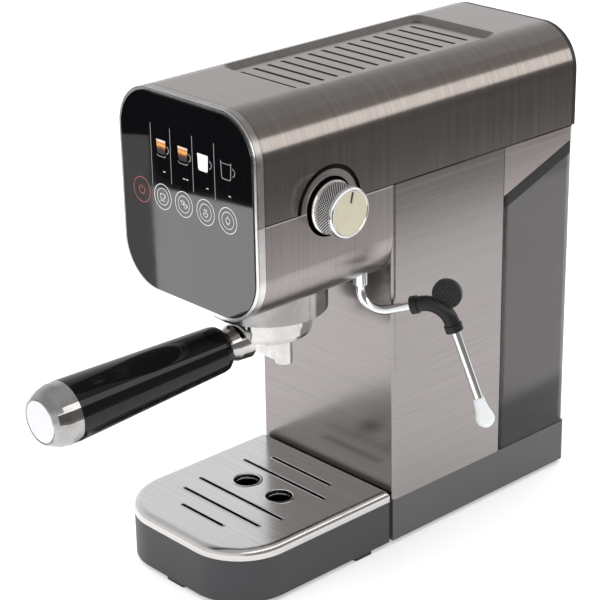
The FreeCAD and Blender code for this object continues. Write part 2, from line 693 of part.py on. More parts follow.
def make_portafilter():
    c = V(0, group_y, 0)
    body = turned([(0, 0), (0, bowl_radius - 4), (1.5, bowl_radius - 1.6), (4, bowl_radius - 0.8),
                   (10, bowl_radius), (rim_z - bowl_z, bowl_radius), (rim_z - bowl_z, 0)],
                  c + Z * bowl_z, Z)
    for centre in (0, 180):
        body = body.fuse(ear_sector(bowl_radius - 1, ear_radius, ear_z, ear_height, ear_angle, centre))
    neck = turned([(-8, 0), (-8, 13), (2, 12.2), (6, 10.6), (grip_start - 2.5, 9.6), (grip_start - 2.5, 0)],
                  handle_root, handle_dir)
    body = body.fuse(neck)
    bore = basket_radius + basket_sheet + basket_gap
    body = body.cut(cyl(bore, 60, c + Z * (bowl_z + 3)))
    body = body.cut(cyl(4.6, 20, c + Z * (bowl_z - 10)))
    body = body.cut(cyl(rod_radius + 0.02, 20, handle_root + handle_dir * -1.0, handle_dir))
    add("portafilter_body", body)

    outer = basket_radius + basket_sheet
    floor_z = rim_z - basket_depth
    basket = cyl(outer, basket_depth, c + Z * floor_z).fuse(cyl(rim_radius, 0.8, c + Z * (rim_z + 0.1)))
    basket = basket.fuse(cyl(outer, 0.2, c + Z * rim_z))
    basket = basket.cut(cyl(basket_radius, basket_depth + 5, c + Z * (floor_z + basket_sheet)))
    for ring_radius, count in ((0, 1), (5, 6), (10, 12), (15, 18), (20, 24)):
        for i in range(count):
            a = 2 * math.pi * i / count
            hole = c + V(ring_radius * math.cos(a), ring_radius * math.sin(a), floor_z - 1)
            basket = basket.cut(cyl(0.5, 3, hole))
    add("filter_basket", basket)
    spring = Part.makeTorus(outer + basket_gap / 2, 0.4, c + Z * (floor_z + 10))
    add("basket_spring", spring)

    top = bowl_z - 0.1
    low = top - spout_drop
    x1 = spout_pitch / 2
    spout = box(-x1, x1, group_y - 5, group_y + 5, low + 1.5, top)
    for sx in (-1, 1):
        spout = spout.fuse(cyl(spout_radius, top - low, V(sx * x1, group_y, low)))
    spout = spout.fuse(cyl(9, 6, c + Z * (top - 6)))
    for sx in (-1, 1):
        spout = spout.cut(cyl(spout_bore, top - low - 6, V(sx * x1, group_y, low - 1)))
    spout = spout.cut(cyl(2.6, spout_pitch, V(-x1, group_y, low + 8), X))
    spout = spout.fuse(tube_piece(4.4, 3.0, 4, c + Z * (top - 1)))
    spout = spout.cut(cyl(3.0, 20, c + Z * (low + 8)))
    add("spout", spout)

    end = grip_start + grip_length
    add("handle_ferrule", turned([(grip_start - 2.3, rod_radius + 0.3), (grip_start - 2.3, 11.6),
                                  (grip_start - 0.6, 12.6), (grip_start - 0.2, 12.6),
                                  (grip_start - 0.2, rod_radius + 0.3)], handle_root, handle_dir))
    rb, rf = grip_radius_back, grip_radius_front
    grip = turned([(grip_start, rod_radius + 0.1), (grip_start, rb - 3.6), (grip_start + 0.9, rb - 1.6),
                   (grip_start + 2.6, rb - 0.5), (grip_start + 6, rb), (end, rf), (end, rod_radius + 0.1)],
                  handle_root, handle_dir)
    for i in range(8):
        s = grip_start + 12 + 12.8 * i
        r = rb + (rf - rb) * (s - grip_start) / grip_length
        notch = box(-2.4, 2.4, -4, 4, -1.2, 3)
        spot = handle_root + handle_dir * s + V(0, 0, -1) * (r - 0.6)
        notch.Placement = FreeCAD.Placement(spot - Z * 1.8, FreeCAD.Rotation(X, handle_droop))
        grip = grip.cut(notch)
    add("handle_grip", grip)
    tip = end + cap_length
    add("handle_cap", turned([(end + 0.2, rod_radius + 0.1), (end + 0.2, rf), (end + 6.5, rf - 0.3),
                              (end + 11.5, rf - 1.6), (end + 15.5, rf - 3.6), (tip - 0.6, cap_face_radius + 0.5),
                              (tip, cap_face_radius), (tip - 0.8, cap_face_radius - 0.8),
                              (tip - 0.8, 0), (tip - 6, 0), (tip - 6, rod_radius + 0.1)],
                             handle_root, handle_dir))
    add("cap_disc", turned([(tip - 0.7, 0), (tip - 0.7, cap_face_radius - 1.1), (tip, cap_face_radius - 1.5),
                            (tip, 0)], handle_root, handle_dir))
    add("handle_rod", turned([(0, 0), (0, rod_radius), (tip - 6.4, rod_radius), (tip - 6.4, 0)],
                             handle_root, handle_dir))


# ---- steam wand
gland_nut = 4.8
gland_low = head_z + 0.5
gland_top = gland_low + 22.0


def wand_point(out, z):
    return V(wand_x, wand_y, z) + wand_out * out


def make_wand():
    z_corner = gland_low - wand_drop
    rise = math.tan(math.radians(wand_rise))
    z_elbow = z_corner + wand_reach * rise
    tilt = math.radians(lower_tilt)
    down = wand_out * math.sin(tilt) - Z * math.cos(tilt)
    elbow = wand_point(wand_reach, z_elbow)
    along = (elbow - wand_point(0, z_corner)).normalize()
    lower_end = elbow + down * lower_length
    turn = math.acos(max(-1, min(1, (along * -1).dot(down)))) / 2
    reach = elbow_bend / math.tan(turn)

    gland = tube_piece(gland_nut, tube_radius + bearing_gap, gland_top - gland_low,
                       V(wand_x, wand_y, gland_low))
    nut = tube_piece(gland_nut + 3, gland_nut - 0.5, 4, V(wand_x, wand_y, gland_top - 6))
    add("wand_gland", gland.fuse(nut))

    upper_end = elbow - along * (reach + 0.2)
    top = V(wand_x, wand_y, gland_top + 6)
    upper = pipe([(top, 0), (wand_point(0, z_corner), wand_bend), (upper_end, 0)], tube_radius, tube_bore)
    stop = tube_piece(gland_nut - 0.4, tube_radius - 0.5, 2.0, V(wand_x, wand_y, gland_top + 0.3))
    upper = upper.fuse(stop)
    add("wand_upper_tube", upper)

    lower_start = elbow + down * (reach + 0.2)
    lower = pipe([(lower_start, 0), (lower_end, 0)], tube_radius, tube_bore)
    add("wand_lower_tube", lower)

    cuff = 6.0
    a = elbow - along * (reach + cuff)
    b = elbow + down * (reach + cuff)
    rubber = pipe([(a, 0), (elbow, elbow_bend), (b, 0)], tube_radius + 2.1)
    for end, inward in ((a, along), (b, down * -1)):
        rubber = rubber.fuse(cyl(tube_radius + 3.0, 4.5, end, inward))
    middle = (along * -1 + down).normalize()
    crown = elbow + middle * (elbow_bend / math.sin(turn) - elbow_bend)
    side = wand_out.cross(Z)
    outward = (along - down).normalize()
    hub = crown + outward * 11.3
    tab = cyl(9.8, 3.4, hub - side * 1.7, side)
    web = box(-5.5, 5.5, -1.7, 1.7, 0, 10)
    frame = FreeCAD.Matrix(*[c for row in zip(outward.cross(side), side, outward * -1, hub) for c in row],
                           0, 0, 0, 1)
    web.Placement = FreeCAD.Placement(frame)
    rubber = rubber.fuse(tab).fuse(web)
    core = pipe([(a - along, 0), (elbow, elbow_bend), (b + down, 0)], tube_radius + 0.02)
    rubber = rubber.cut(core)
    for i in range(4):
        rib = tube_piece(7.9 - 1.9 * i, 7.1 - 1.9 * i, 0.6, hub - side * 2.2, side)
        rubber = rubber.cut(rib)
    add("wand_elbow", rubber)

    tip = turned([(0, tube_radius + 0.06), (0, tube_radius + 0.7), (4, tube_radius + 1.0),
                  (9, tip_radius - 1.5), (13, tip_radius - 0.3), (15.5, tip_radius),
                  (18, tip_radius - 0.9), (20, tip_radius - 3.0),
                  (tip_length, 1.4), (tip_length, 1.0), (tip_grip + 0.3, 1.0),
                  (tip_grip + 0.3, tube_radius + 0.06)],
                 lower_end - down * tip_grip, down)
    add("nozzle_cap", tip)
    return down


# ---- drip tray and grate
def tray_plan(inset, z0, z1):
    rear = column_front - tray_gap
    return plan(-half + inset, half - inset, tray_front + inset, rear - inset, z0, z1, tray_corner - inset,
                3.0 - min(inset, 2.5))


def make_tray():
    edge = 0.4
    tray = tray_plan(edge, base_z, base_top).cut(tray_plan(edge + wall, base_z + wall, base_top + 1))
    rear = column_front - tray_gap - edge
    for sx in (-1, 1):
        tongue = box(sx * 35 - tongue_half, sx * 35 + tongue_half, rear - 1, rear + 8,
                     tongue_z, tongue_z + tongue_height)
        tray = tray.fuse(tongue)
    add("drip_tray", tray)
    feet = [plan(-9, 9, tray_front + 1.5, tray_front + 15, 0, foot_height, 2, 2)]
    for sx in (-1, 1):
        x0, x1 = sorted((sx * (half - 1.2), sx * (half - 12)))
        feet.append(plan(x0, x1, 82, 98, 0, foot_height, 2, 2))
    add("tray_feet", Part.makeCompound(feet))

    z0 = base_top + 0.1
    outer = tray_plan(0, z0, grate_z)
    rim = [e for e in outer.Edges if e.BoundBox.ZMin > grate_z - 0.01]
    outer = outer.makeFillet(grate_roll, rim)
    inner = tray_plan(sheet, z0 - 1, grate_z - sheet)
    rim = [e for e in inner.Edges if e.BoundBox.ZMin > grate_z - sheet - 0.01]
    inner = inner.makeFillet(grate_roll - sheet, rim)
    grate = outer.cut(inner)
    skirt = tray_plan(wall + 0.4 + slide_gap, z0 - 6, grate_z - sheet)
    skirt = skirt.cut(tray_plan(wall + 0.4 + slide_gap + 1.2, z0 - 7, grate_z))
    grate = grate.fuse(skirt)
    for y, reach in slots:
        grate = grate.cut(slot_cut(-reach, reach, y, slot_width, grate_z - 5, grate_z + 1))
    for sx in (-1, 1):
        grate = grate.cut(cyl(hole_radius, 10, V(sx * hole_x, hole_y, grate_z - 8)))
        lip = tube_piece(hole_radius + 0.8, hole_radius, 4, V(sx * hole_x, hole_y, grate_z - sheet - 3.6))
        grate = grate.fuse(lip)
    add("drip_grate", grate)


make_base()
make_gland()
make_column()
make_head()
make_front()
make_rear()
make_tank()
make_group()
boiler_out, boiler_in = make_boiler()
pump_in, pump_out = make_pump()
make_plumbing(pump_in, pump_out, boiler_out, boiler_in)
make_valve()
make_knob()
make_portafilter()
wand_down = make_wand()
make_tray()

os.makedirs("parts", exist_ok=True)
shift = V(0, -origin_y, 0)
for name, shape in parts.items():
    shape.translate(shift)
    shape.exportStep("parts/" + name + ".step")


def report(label, point):
    p = point + shift
    print("%-16s %9.3f %9.3f %9.3f" % (label, p.x, p.y, p.z))


report("knob axis", V(0, knob_y, seam_z))
report("group axis", V(0, group_y, collar_z))
report("wand axis", V(wand_x, wand_y, gland_low))
report("cable bore", V(gland_x, rear_end, gland_z))
report("grate", V(0, 0, grate_z))
report("cup shelf", V(0, groove_front + 6.5 * groove_pitch, top_z - recess_depth))
report("rear foot", V(0, rear_end - 28, 0))
print("needle lift per radian", thread_pitch / (2 * math.pi))
print("wand tube runs along", round(wand_down.x, 6), round(wand_down.y, 6), round(wand_down.z, 6))
print(len(parts), "nodes")
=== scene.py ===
import math
import bpy
from mathutils import Matrix, Vector


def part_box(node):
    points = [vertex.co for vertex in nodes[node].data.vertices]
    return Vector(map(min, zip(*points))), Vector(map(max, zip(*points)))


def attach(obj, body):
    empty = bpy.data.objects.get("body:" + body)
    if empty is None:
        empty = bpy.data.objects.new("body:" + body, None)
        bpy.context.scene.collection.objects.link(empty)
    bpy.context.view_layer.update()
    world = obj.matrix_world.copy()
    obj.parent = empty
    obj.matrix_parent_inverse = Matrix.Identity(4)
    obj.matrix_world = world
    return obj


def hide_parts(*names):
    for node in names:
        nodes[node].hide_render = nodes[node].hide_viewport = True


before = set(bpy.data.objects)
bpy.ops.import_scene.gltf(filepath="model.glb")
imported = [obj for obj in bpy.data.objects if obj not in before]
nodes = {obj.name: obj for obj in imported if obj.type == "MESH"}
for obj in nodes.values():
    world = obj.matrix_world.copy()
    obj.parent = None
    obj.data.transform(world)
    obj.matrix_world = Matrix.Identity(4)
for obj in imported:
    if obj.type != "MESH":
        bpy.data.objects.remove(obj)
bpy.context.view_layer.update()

mm = 0.001
print("frame loaded:", len(nodes), "nodes")


class Wire:                                     # one socket, so shader sums read as plain expressions
    def __init__(self, paint, socket):
        self.paint = paint
        self.socket = socket

    def maths(self, operation, *terms):
        return self.paint.make("Math", {"operation": operation}, dict(enumerate(terms)))

    def __add__(self, other):
        return self.maths("ADD", self, other)

    def __radd__(self, other):
        return self.maths("ADD", other, self)

    def __sub__(self, other):
        return self.maths("SUBTRACT", self, other)

    def __rsub__(self, other):
        return self.maths("SUBTRACT", other, self)

    def __mul__(self, other):
        return self.maths("MULTIPLY", self, other)

    def __rmul__(self, other):
        return self.maths("MULTIPLY", other, self)

    def __pow__(self, other):
        return self.maths("POWER", self, other)

    def __abs__(self):
        return self.maths("ABSOLUTE", self)

    def __and__(self, other):                   # the smaller of two masks
        return self.maths("MINIMUM", self, other)


class Paint:                                    # the nodes of one material, or of the world
    def __init__(self, name, kind="materials"):
        self.material = getattr(bpy.data, kind).new(name)
        self.material.use_nodes = True
        self.tree = self.material.node_tree
        self.tree.nodes.clear()

    def make(self, kind, settings=None, feeds=None, out=0):
        node = self.tree.nodes.new("ShaderNode" + kind)
        for key, value in (settings or {}).items():
            if key == "stops":
                ramp = node.color_ramp
                while len(ramp.elements) < len(value):
                    ramp.elements.new(0.5)
                for element, (place, colour) in zip(ramp.elements, value):
                    element.position = place
                    element.color = (*colour, 1)
            else:
                setattr(node, key, value)
        for key, value in (feeds or {}).items():
            socket = node.inputs[key]
            if isinstance(value, Wire):
                self.tree.links.new(value.socket, socket)
            else:
                socket.default_value = value
        return Wire(self, node.outputs[out]) if out is not None else None

    def spot(self):                             # place on the object, in metres
        return self.make("TexCoord", out="Object")

    def axes(self, kind="Object"):
        node = self.make("SeparateXYZ", feeds={0: self.make("TexCoord", out=kind)}).socket.node
        return [Wire(self, o) for o in node.outputs]

    def noise(self, stretch, detail=2.0, roughness=0.5, place=None):
        scaled = self.make("VectorMath", {"operation": "MULTIPLY"}, {0: place or self.spot(), 1: stretch})
        return self.make("TexNoise", {}, {"Vector": scaled, "Scale": 1.0, "Detail": detail,
                                          "Roughness": roughness})

    def step(self, value, low, high):           # soft step from 0 at low to 1 at high
        return self.make("MapRange", {"interpolation_type": "SMOOTHSTEP"},
                         {"Value": value, "From Min": low, "From Max": high})

    def band(self, value, rise, fall):          # 1 between two soft edges, each given as from and to
        return self.step(value, *rise) & (1 - self.step(value, *fall))

    def blendColour(self, share, first, second):
        first, second = (v if isinstance(v, Wire) else (*v[:3], 1) for v in (first, second))
        return self.make("Mix", {"data_type": "RGBA"}, {0: share, 6: first, 7: second}, out=2)

    def bump(self, height, depth):              # depth is the height of 1.0, in metres
        return self.make("Bump", {}, {"Height": height, "Strength": 1.0, "Distance": depth})

    def shade(self, colour, roughness, normal=None, **more):
        colour = colour if isinstance(colour, Wire) else (*colour[:3], 1)
        feeds = {"Base Color": colour, "Roughness": roughness}
        if normal:
            feeds["Normal"] = normal
        for key, value in more.items():
            feeds[key.replace("_", " ")] = value
        body = self.make("BsdfPrincipled", {}, feeds)
        self.make("OutputMaterial", {}, {"Surface": body}, out=None)
        return self.material


def edgeAt(value, soft):                        # the two ends of one soft edge
    return value - soft, value + soft


def brushedSteel(name, look):
    paint = Paint(name)
    fine = paint.noise(look["fine"], 3, 0.7)
    broad = paint.noise(look["broad"], 2, 0.5)
    cloud = paint.noise((11, 13, 9), 2, 0.5)
    streak = fine * 0.7 + broad * 0.3
    tone = paint.blendColour(paint.step(streak, 0.25, 0.75), look["dark"], look["light"])
    tone = paint.blendColour(paint.step(cloud, 0.4, 0.75) * 0.2, tone, look["haze"])
    rough = look["roughness"] + (streak - 0.5) * 0.10 + (cloud - 0.5) * 0.04
    x, _, z = paint.axes()
    if "grooves" in look:                       # the pressed grooves are painted darker at the bottom: painted shade where shade falls in them
        groove = look["grooves"]
        low = groove["low"]
        reach = groove["reach"]
        within = 1 - paint.step(z, low, groove["high"])
        grooveShade = within & (1 - paint.step(abs(x), reach, reach + groove["fade"]))
        grooveShade = grooveShade & paint.step(z, low - groove["deepest"], low - groove["deep"])
        tone = paint.blendColour(grooveShade * groove["share"], tone, groove["shade"])
        rough = rough + grooveShade * groove["dull"]
    if "rolled" in look:                        # the rolled edge below this height is polished smooth
        rolled = look["rolled"]
        edge = 1 - paint.step(z, rolled["height"] - rolled["fade"], rolled["height"])
        tone = paint.blendColour(edge, tone, rolled["tone"])
        rough = rough * (1 - edge) + edge * rolled["roughness"]
    if "seam" in look:                          # a thin painted line where two pressings meet: painted shade of the gap above it on the cover, a painted highlight along the head's edge below it
        low, high, shade = look["seam"]
        line = paint.band(z, edgeAt(low, seamBlur), edgeAt(high, seamBlur))
        tone = paint.blendColour(line, tone, shade)
    return paint.shade(tone, rough, paint.bump(fine, look["depth"]), Metallic=1.0)


seamBlur = 0.0001                               # metres, how softly a painted line starts and ends
coverLook = {"dark": (0.206, 0.184, 0.172), "light": (0.272, 0.247, 0.232), "haze": (0.24, 0.22, 0.21),
             "fine": (10, 1700, 10), "broad": (3, 240, 4), "roughness": 0.17, "depth": 0.000002,
             # painted shade at the bottom of the pressed grooves in the top
             "grooves": {"low": 0.32530, "high": 0.32575, "deep": 0.002, "deepest": 0.003, "reach": 0.0270,
                         "fade": 0.0003, "share": 0.75, "shade": (0.05, 0.045, 0.04), "dull": 0.25},
             # the seam line here is painted shade of the dark gap just above the seam
             "seam": (0.2600, 0.2606, (0.02, 0.018, 0.017))}
headLook = {"dark": (0.28, 0.252, 0.241), "light": (0.37, 0.336, 0.323), "haze": (0.34, 0.314, 0.306),
            "fine": (10, 1700, 10), "broad": (3, 240, 4), "roughness": 0.29, "depth": 0.000002,
            # the seam line here is a painted highlight along the head's top edge just below the seam
            "seam": (0.2592, 0.2599, (0.80, 0.77, 0.75))}
columnLook = {"dark": (0.258, 0.240, 0.233), "light": (0.318, 0.297, 0.289), "haze": (0.29, 0.275, 0.268),
              "fine": (9, 9, 1900), "broad": (3, 3, 300), "roughness": 0.20, "depth": 0.000002}
hoodLook = {"dark": (0.37, 0.33, 0.321), "light": (0.45, 0.401, 0.391), "haze": (0.41, 0.368, 0.36),
            "fine": (9, 9, 1900), "broad": (3, 3, 300), "roughness": 0.24, "depth": 0.000002}
grateLook = {"dark": (0.60, 0.592, 0.585), "light": (0.75, 0.742, 0.735), "haze": (0.68, 0.67, 0.66),
             "fine": (10, 1500, 10), "broad": (3, 240, 4), "roughness": 0.19, "depth": 0.000002,
             "rolled": {"height": 0.0412, "fade": 0.0012, "tone": (0.60, 0.585, 0.57), "roughness": 0.24}}
insideLook = {"dark": (0.50, 0.50, 0.50), "light": (0.68, 0.68, 0.68), "haze": (0.6, 0.6, 0.6),
              "fine": (500, 500, 90), "broad": (90, 90, 40), "roughness": 0.30, "depth": 0.000004}
coverSteel = brushedSteel("coverSteel", coverLook)
headSteel = brushedSteel("headSteel", headLook)
columnSteel = brushedSteel("columnSteel", columnLook)
hoodSteel = brushedSteel("hoodSteel", hoodLook)
grateSteel = brushedSteel("grateSteel", grateLook)
insideSteel = brushedSteel("insideSteel", insideLook)


def rimMetal(name, look):                       # bright lip at the glass, fine dark line, then a satin wall
    paint = Paint(name)
    _, y, _ = paint.axes()
    haze = paint.noise((70, 70, 70), 3, 0.6)
    satin = paint.blendColour(paint.step(haze, 0.35, 0.7), look["dark"], look["light"])
    lipEdge = edgeAt(look["lip"], seamBlur)
    lineEnd = [look["lip"] + reach for reach in look["line"]]
    lip = 1 - paint.step(y, *lipEdge)
    line = paint.band(y, lipEdge, lineEnd)
    tone = paint.blendColour(lip, paint.blendColour(line * 0.7, satin, look["shade"]), look["edge"])
    rough = look["roughness"] + haze * 0.05 - lip * look["polish"]
    return paint.shade(tone, rough, paint.bump(haze, 0.00001), Metallic=1.0)


frameLook = {"dark": (0.30, 0.285, 0.270), "light": (0.40, 0.380, 0.360), "edge": (0.92, 0.91, 0.90),
             "shade": (0.04, 0.038, 0.036), "lip": -0.1326, "line": (0.0006, 0.0009), "roughness": 0.30,
             "polish": 0.12}
frameSteel = rimMetal("frameSteel", frameLook)
# painted highlight: a lighter copy of the frame metal for the lower rim, standing in for the bright line
# along the bezel's rounded front edge
lowerRimLit = rimMetal("lowerRimLit", {**frameLook, "dark": (0.66, 0.65, 0.65), "light": (0.78, 0.77, 0.77),
                                 "shade": (0.25, 0.24, 0.24)})


def polished(name, look):                       # bright metal with faint buffing marks and clouds
    paint = Paint(name)
    haze = paint.noise((60, 60, 60), 3, 0.6)
    marks = paint.noise((900, 900, 240), 2, 0.6)
    tone = paint.blendColour(paint.step(haze, 0.35, 0.7), look["dark"], look["light"])
    rough = look["roughness"] + haze * look["cloud"] + paint.step(marks, 0.62, 0.8) * look["scuff"]
    return paint.shade(tone, rough, paint.bump(haze, look["depth"]), Metallic=1.0)


chromeLook = {"dark": (0.78, 0.79, 0.80), "light": (0.86, 0.87, 0.88), "roughness": 0.03, "cloud": 0.03,
              "scuff": 0.05, "depth": 0.00001}
castLook = {"dark": (0.28, 0.272, 0.266), "light": (0.36, 0.351, 0.343), "roughness": 0.13, "cloud": 0.08,
            "scuff": 0.10, "depth": 0.00005}
brassLook = {"dark": (0.55, 0.40, 0.17), "light": (0.74, 0.56, 0.27), "roughness": 0.25, "cloud": 0.12,
             "scuff": 0.1, "depth": 0.00003}
chrome = polished("chrome", chromeLook)
castAluminium = polished("castAluminium", castLook)
bowlMetal = polished("bowlMetal", {**castLook, "dark": (0.50, 0.49, 0.475), "light": (0.63, 0.62, 0.60),
                                   "roughness": 0.08})
# painted shade: the same chrome made darker on the handle cap, standing in for the dark reflections it shows
capChromeDarkened = polished("capChromeDarkened", {**chromeLook, "dark": (0.32, 0.312, 0.306),
                                   "light": (0.44, 0.432, 0.426), "roughness": 0.02})
brass = polished("brass", brassLook)


def moulded(name, look):                        # plastic or rubber: fine grain, slight mottle, uneven sheen
    paint = Paint(name)
    grain = paint.noise((look["grain"],) * 3, 2, 0.6)
    mottle = paint.noise((35, 35, 35), 3, 0.55)
    tone = paint.blendColour(mottle * 0.6 + grain * 0.4, look["dark"], look["light"])
    rough = look["roughness"] + (grain - 0.5) * look["spread"] + (mottle - 0.5) * 0.06
    return paint.shade(tone, rough, paint.bump(grain, look["depth"]), **look.get("more", {}))


charcoalLook = {"dark": (0.027, 0.026, 0.029), "light": (0.042, 0.041, 0.045), "grain": 1500,
                "roughness": 0.50, "spread": 0.12, "depth": 0.00006}
blackLook = {"dark": (0.010, 0.010, 0.011), "light": (0.018, 0.018, 0.019), "grain": 1500,
             "roughness": 0.42, "spread": 0.12, "depth": 0.00004, "more": {"IOR": 1.36}}
rubberLook = {"dark": (0.006, 0.006, 0.007), "light": (0.014, 0.014, 0.015), "grain": 900,
              "roughness": 0.40, "spread": 0.12, "depth": 0.00004, "more": {"IOR": 1.38}}
siliconeLook = {"dark": (0.55, 0.55, 0.52), "light": (0.72, 0.72, 0.68), "grain": 900,
                "roughness": 0.4, "spread": 0.1, "depth": 0.00003, "more": {"Alpha": 0.85}}
circuitLook = {"dark": (0.02, 0.10, 0.05), "light": (0.05, 0.20, 0.10), "grain": 700,
               "roughness": 0.35, "spread": 0.1, "depth": 0.00003}
gripLook = {"dark": (0.003, 0.003, 0.0035), "light": (0.006, 0.006, 0.007), "grain": 40,
            "roughness": 0.06, "spread": 0.04, "depth": 0.00001, "more": {"IOR": 1.34}}
panelLook = {"dark": (0.002, 0.002, 0.003), "light": (0.004, 0.004, 0.005), "grain": 25,
             "roughness": 0.035, "spread": 0.03, "depth": 0.000008, "more": {"IOR": 1.96}}
tipLook = {"dark": (0.80, 0.82, 0.83), "light": (0.90, 0.92, 0.92), "grain": 500,
           "roughness": 0.32, "spread": 0.12, "depth": 0.00003, "more": {"Alpha": 0.88}}
charcoal = moulded("charcoal", charcoalLook)
# painted light: the same charcoal plastic made lighter for the base housing, whose sides catch more light
# than the tray's shaded side
baseCharcoalLit = moulded("baseCharcoalLit", {**charcoalLook, "dark": (0.066, 0.065, 0.069),
                                        "light": (0.092, 0.091, 0.095)})
blackPlastic = moulded("blackPlastic", blackLook)
rubber = moulded("rubber", rubberLook)
silicone = moulded("silicone", siliconeLook)
circuit = moulded("circuit", circuitLook)
gloss = moulded("glossGrip", gripLook)
panelGlass = moulded("panelGlass", panelLook)
frosted = moulded("frostedTip", tipLook)
# painted shade: the knob well's black made darker and less reflective, standing in for the shade in the deep
# gap round the knob
gapShadeBlack = moulded("gapShadeBlack", {**blackLook, "dark": (0.002, 0.002, 0.002), "light": (0.004, 0.004, 0.004),
                                  "more": {"IOR": 1.2}})


def ribbedRubber(name, look):                   # the elbow's rubber, with fine ribs in its thumb tab, painted lighter on their crests as a painted highlight, and a ring of painted shade round the tab
    paint = Paint(name)
    grain = paint.noise((look["grain"],) * 3, 2, 0.6)
    away = paint.make("VectorMath", {"operation": "SUBTRACT"}, {0: paint.spot(), 1: look["hub"]})
    reach = paint.make("VectorMath", {"operation": "LENGTH"}, {0: away}, out=1)
    along = paint.make("VectorMath", {"operation": "DOT_PRODUCT"}, {0: away, 1: look["across"]}, out=1)
    wave = paint.make("Math", {"operation": "SINE"}, {0: along * look["pitch"]})
    inside = 1 - paint.step(reach, look["radius"] - look["fade"], look["radius"])
    rib = (wave * 0.5 + 0.5) * inside
    rimStart = [look["radius"] + edge for edge in look["rimStart"]]
    rimEnd = [look["radius"] + edge for edge in look["rimEnd"]]
    # painted shade in a ring round the edge of the thumb tab
    rim = paint.band(reach, rimStart, rimEnd)
    # the rib crests are painted lighter: painted highlight
    tone = paint.blendColour(grain * 0.6 + rib * 0.4, look["dark"], look["light"])
    tone = paint.blendColour(rim * 0.8, tone, look["shade"])
    rough = look["roughness"] + (grain - 0.5) * 0.1
    return paint.shade(tone, rough, paint.bump(rib + grain * 0.05, look["depth"]), IOR=1.38)


elbowLook = {"hub": (0.0998, -0.0035, 0.1917), "across": (0.390, 0.225, 0.893), "pitch": 3300,
             "radius": 0.0088, "fade": 0.0008, "rimStart": (-0.0004, 0.0002), "rimEnd": (0.0006, 0.0012),
             "grain": 900, "dark": (0.005, 0.005, 0.006), "light": (0.020, 0.020, 0.021),
             "shade": (0.001, 0.001, 0.001), "roughness": 0.38, "depth": 0.0006}
elbowRubber = ribbedRubber("elbowRubber", elbowLook)


def smokedTank(name, look):                     # tinted plastic: darker foot, faint level marks, and dark strips along the front edge that are painted shade
    paint = Paint(name)
    _, y, z = paint.axes()
    mottle = paint.noise((30, 30, 30), 3, 0.55)
    film = paint.noise((8, 8, 3), 2, 0.5)
    tone = paint.blendColour(mottle * 0.5 + film * 0.5, look["dark"], look["light"])
    above = paint.step(z, *edgeAt(look["foot"], look["footBlur"]))
    tone = paint.blendColour(above, look["under"], tone)
    for start, end, share in look["edgeShadeStrips"]:    # distances back from the front edge
        start, end = look["front"] + start, look["front"] + end
        strip = paint.band(y, edgeAt(start, look["stripBlur"]), edgeAt(end, look["stripBlur"]))
        tone = paint.blendColour(strip * share * above, tone, look["shade"])
    for height in look["levels"]:
        mark = 1 - paint.step(abs(z - height), *look["markEdge"])
        tone = paint.blendColour(mark * 0.14, tone, look["mark"])
    rough = look["roughness"] + (mottle - 0.5) * 0.04
    return paint.shade(tone, rough, paint.bump(mottle, look["depth"]), Alpha=look["alpha"])


tankLook = {"dark": (0.094, 0.087, 0.085), "light": (0.120, 0.111, 0.108), "under": (0.012, 0.011, 0.013),
            "shade": (0.004, 0.003, 0.003), "mark": (0.30, 0.29, 0.28), "markEdge": (0.00025, 0.0006),
            "foot": 0.072, "footBlur": 0.008, "front": 0.0885, "stripBlur": 0.0002,
            # painted shade in strips along the tank's front edge
            "edgeShadeStrips": ((-0.001, 0.0010, 1.0), (0.0010, 0.0040, 0.55), (0.0040, 0.0049, 0.80)),
            "levels": (0.100, 0.150, 0.200), "roughness": 0.07, "depth": 0.000004, "alpha": 0.72}
smoked = smokedTank("smokedTank", tankLook)


def turnedFace(name, look):                     # disc cut on a lathe: fine rings and soft spokes of light
    paint = Paint(name)
    x, y, z = paint.axes()
    a, b = (y, z) if look["axis"] == "x" else (x, z)
    out = ((a - look["at"][0]) ** 2 + (b - look["at"][1]) ** 2) ** 0.5
    rings = paint.make("Math", {"operation": "SINE"}, {0: out * look["pitch"]})
    haze = paint.noise((160, 160, 160), 3, 0.6)
    tone = paint.blendColour(rings * 0.25 + 0.25 + haze * 0.5, look["dark"], look["light"])
    return paint.shade(tone, look["roughness"] + rings * 0.04 + (haze - 0.5) * 0.06,
                       paint.bump(rings, look["depth"]), Metallic=look["metal"],
                       Anisotropic=look["pull"])


dialLook = {"axis": "x", "at": (-0.073, 0.260), "pitch": 9000, "dark": (0.58, 0.54, 0.40),
            "light": (0.72, 0.67, 0.51), "roughness": 0.40, "depth": 0.000003, "metal": 0.35, "pull": 0.3}
discLook = {"axis": "y", "at": (0.0, 0.1518), "pitch": 9000, "dark": (0.54, 0.545, 0.56),
            "light": (0.68, 0.685, 0.70), "roughness": 0.22, "depth": 0.000005, "metal": 1.0, "pull": 0.7}
dialFace = turnedFace("dialFace", dialLook)
capDisc = turnedFace("capDisc", discLook)

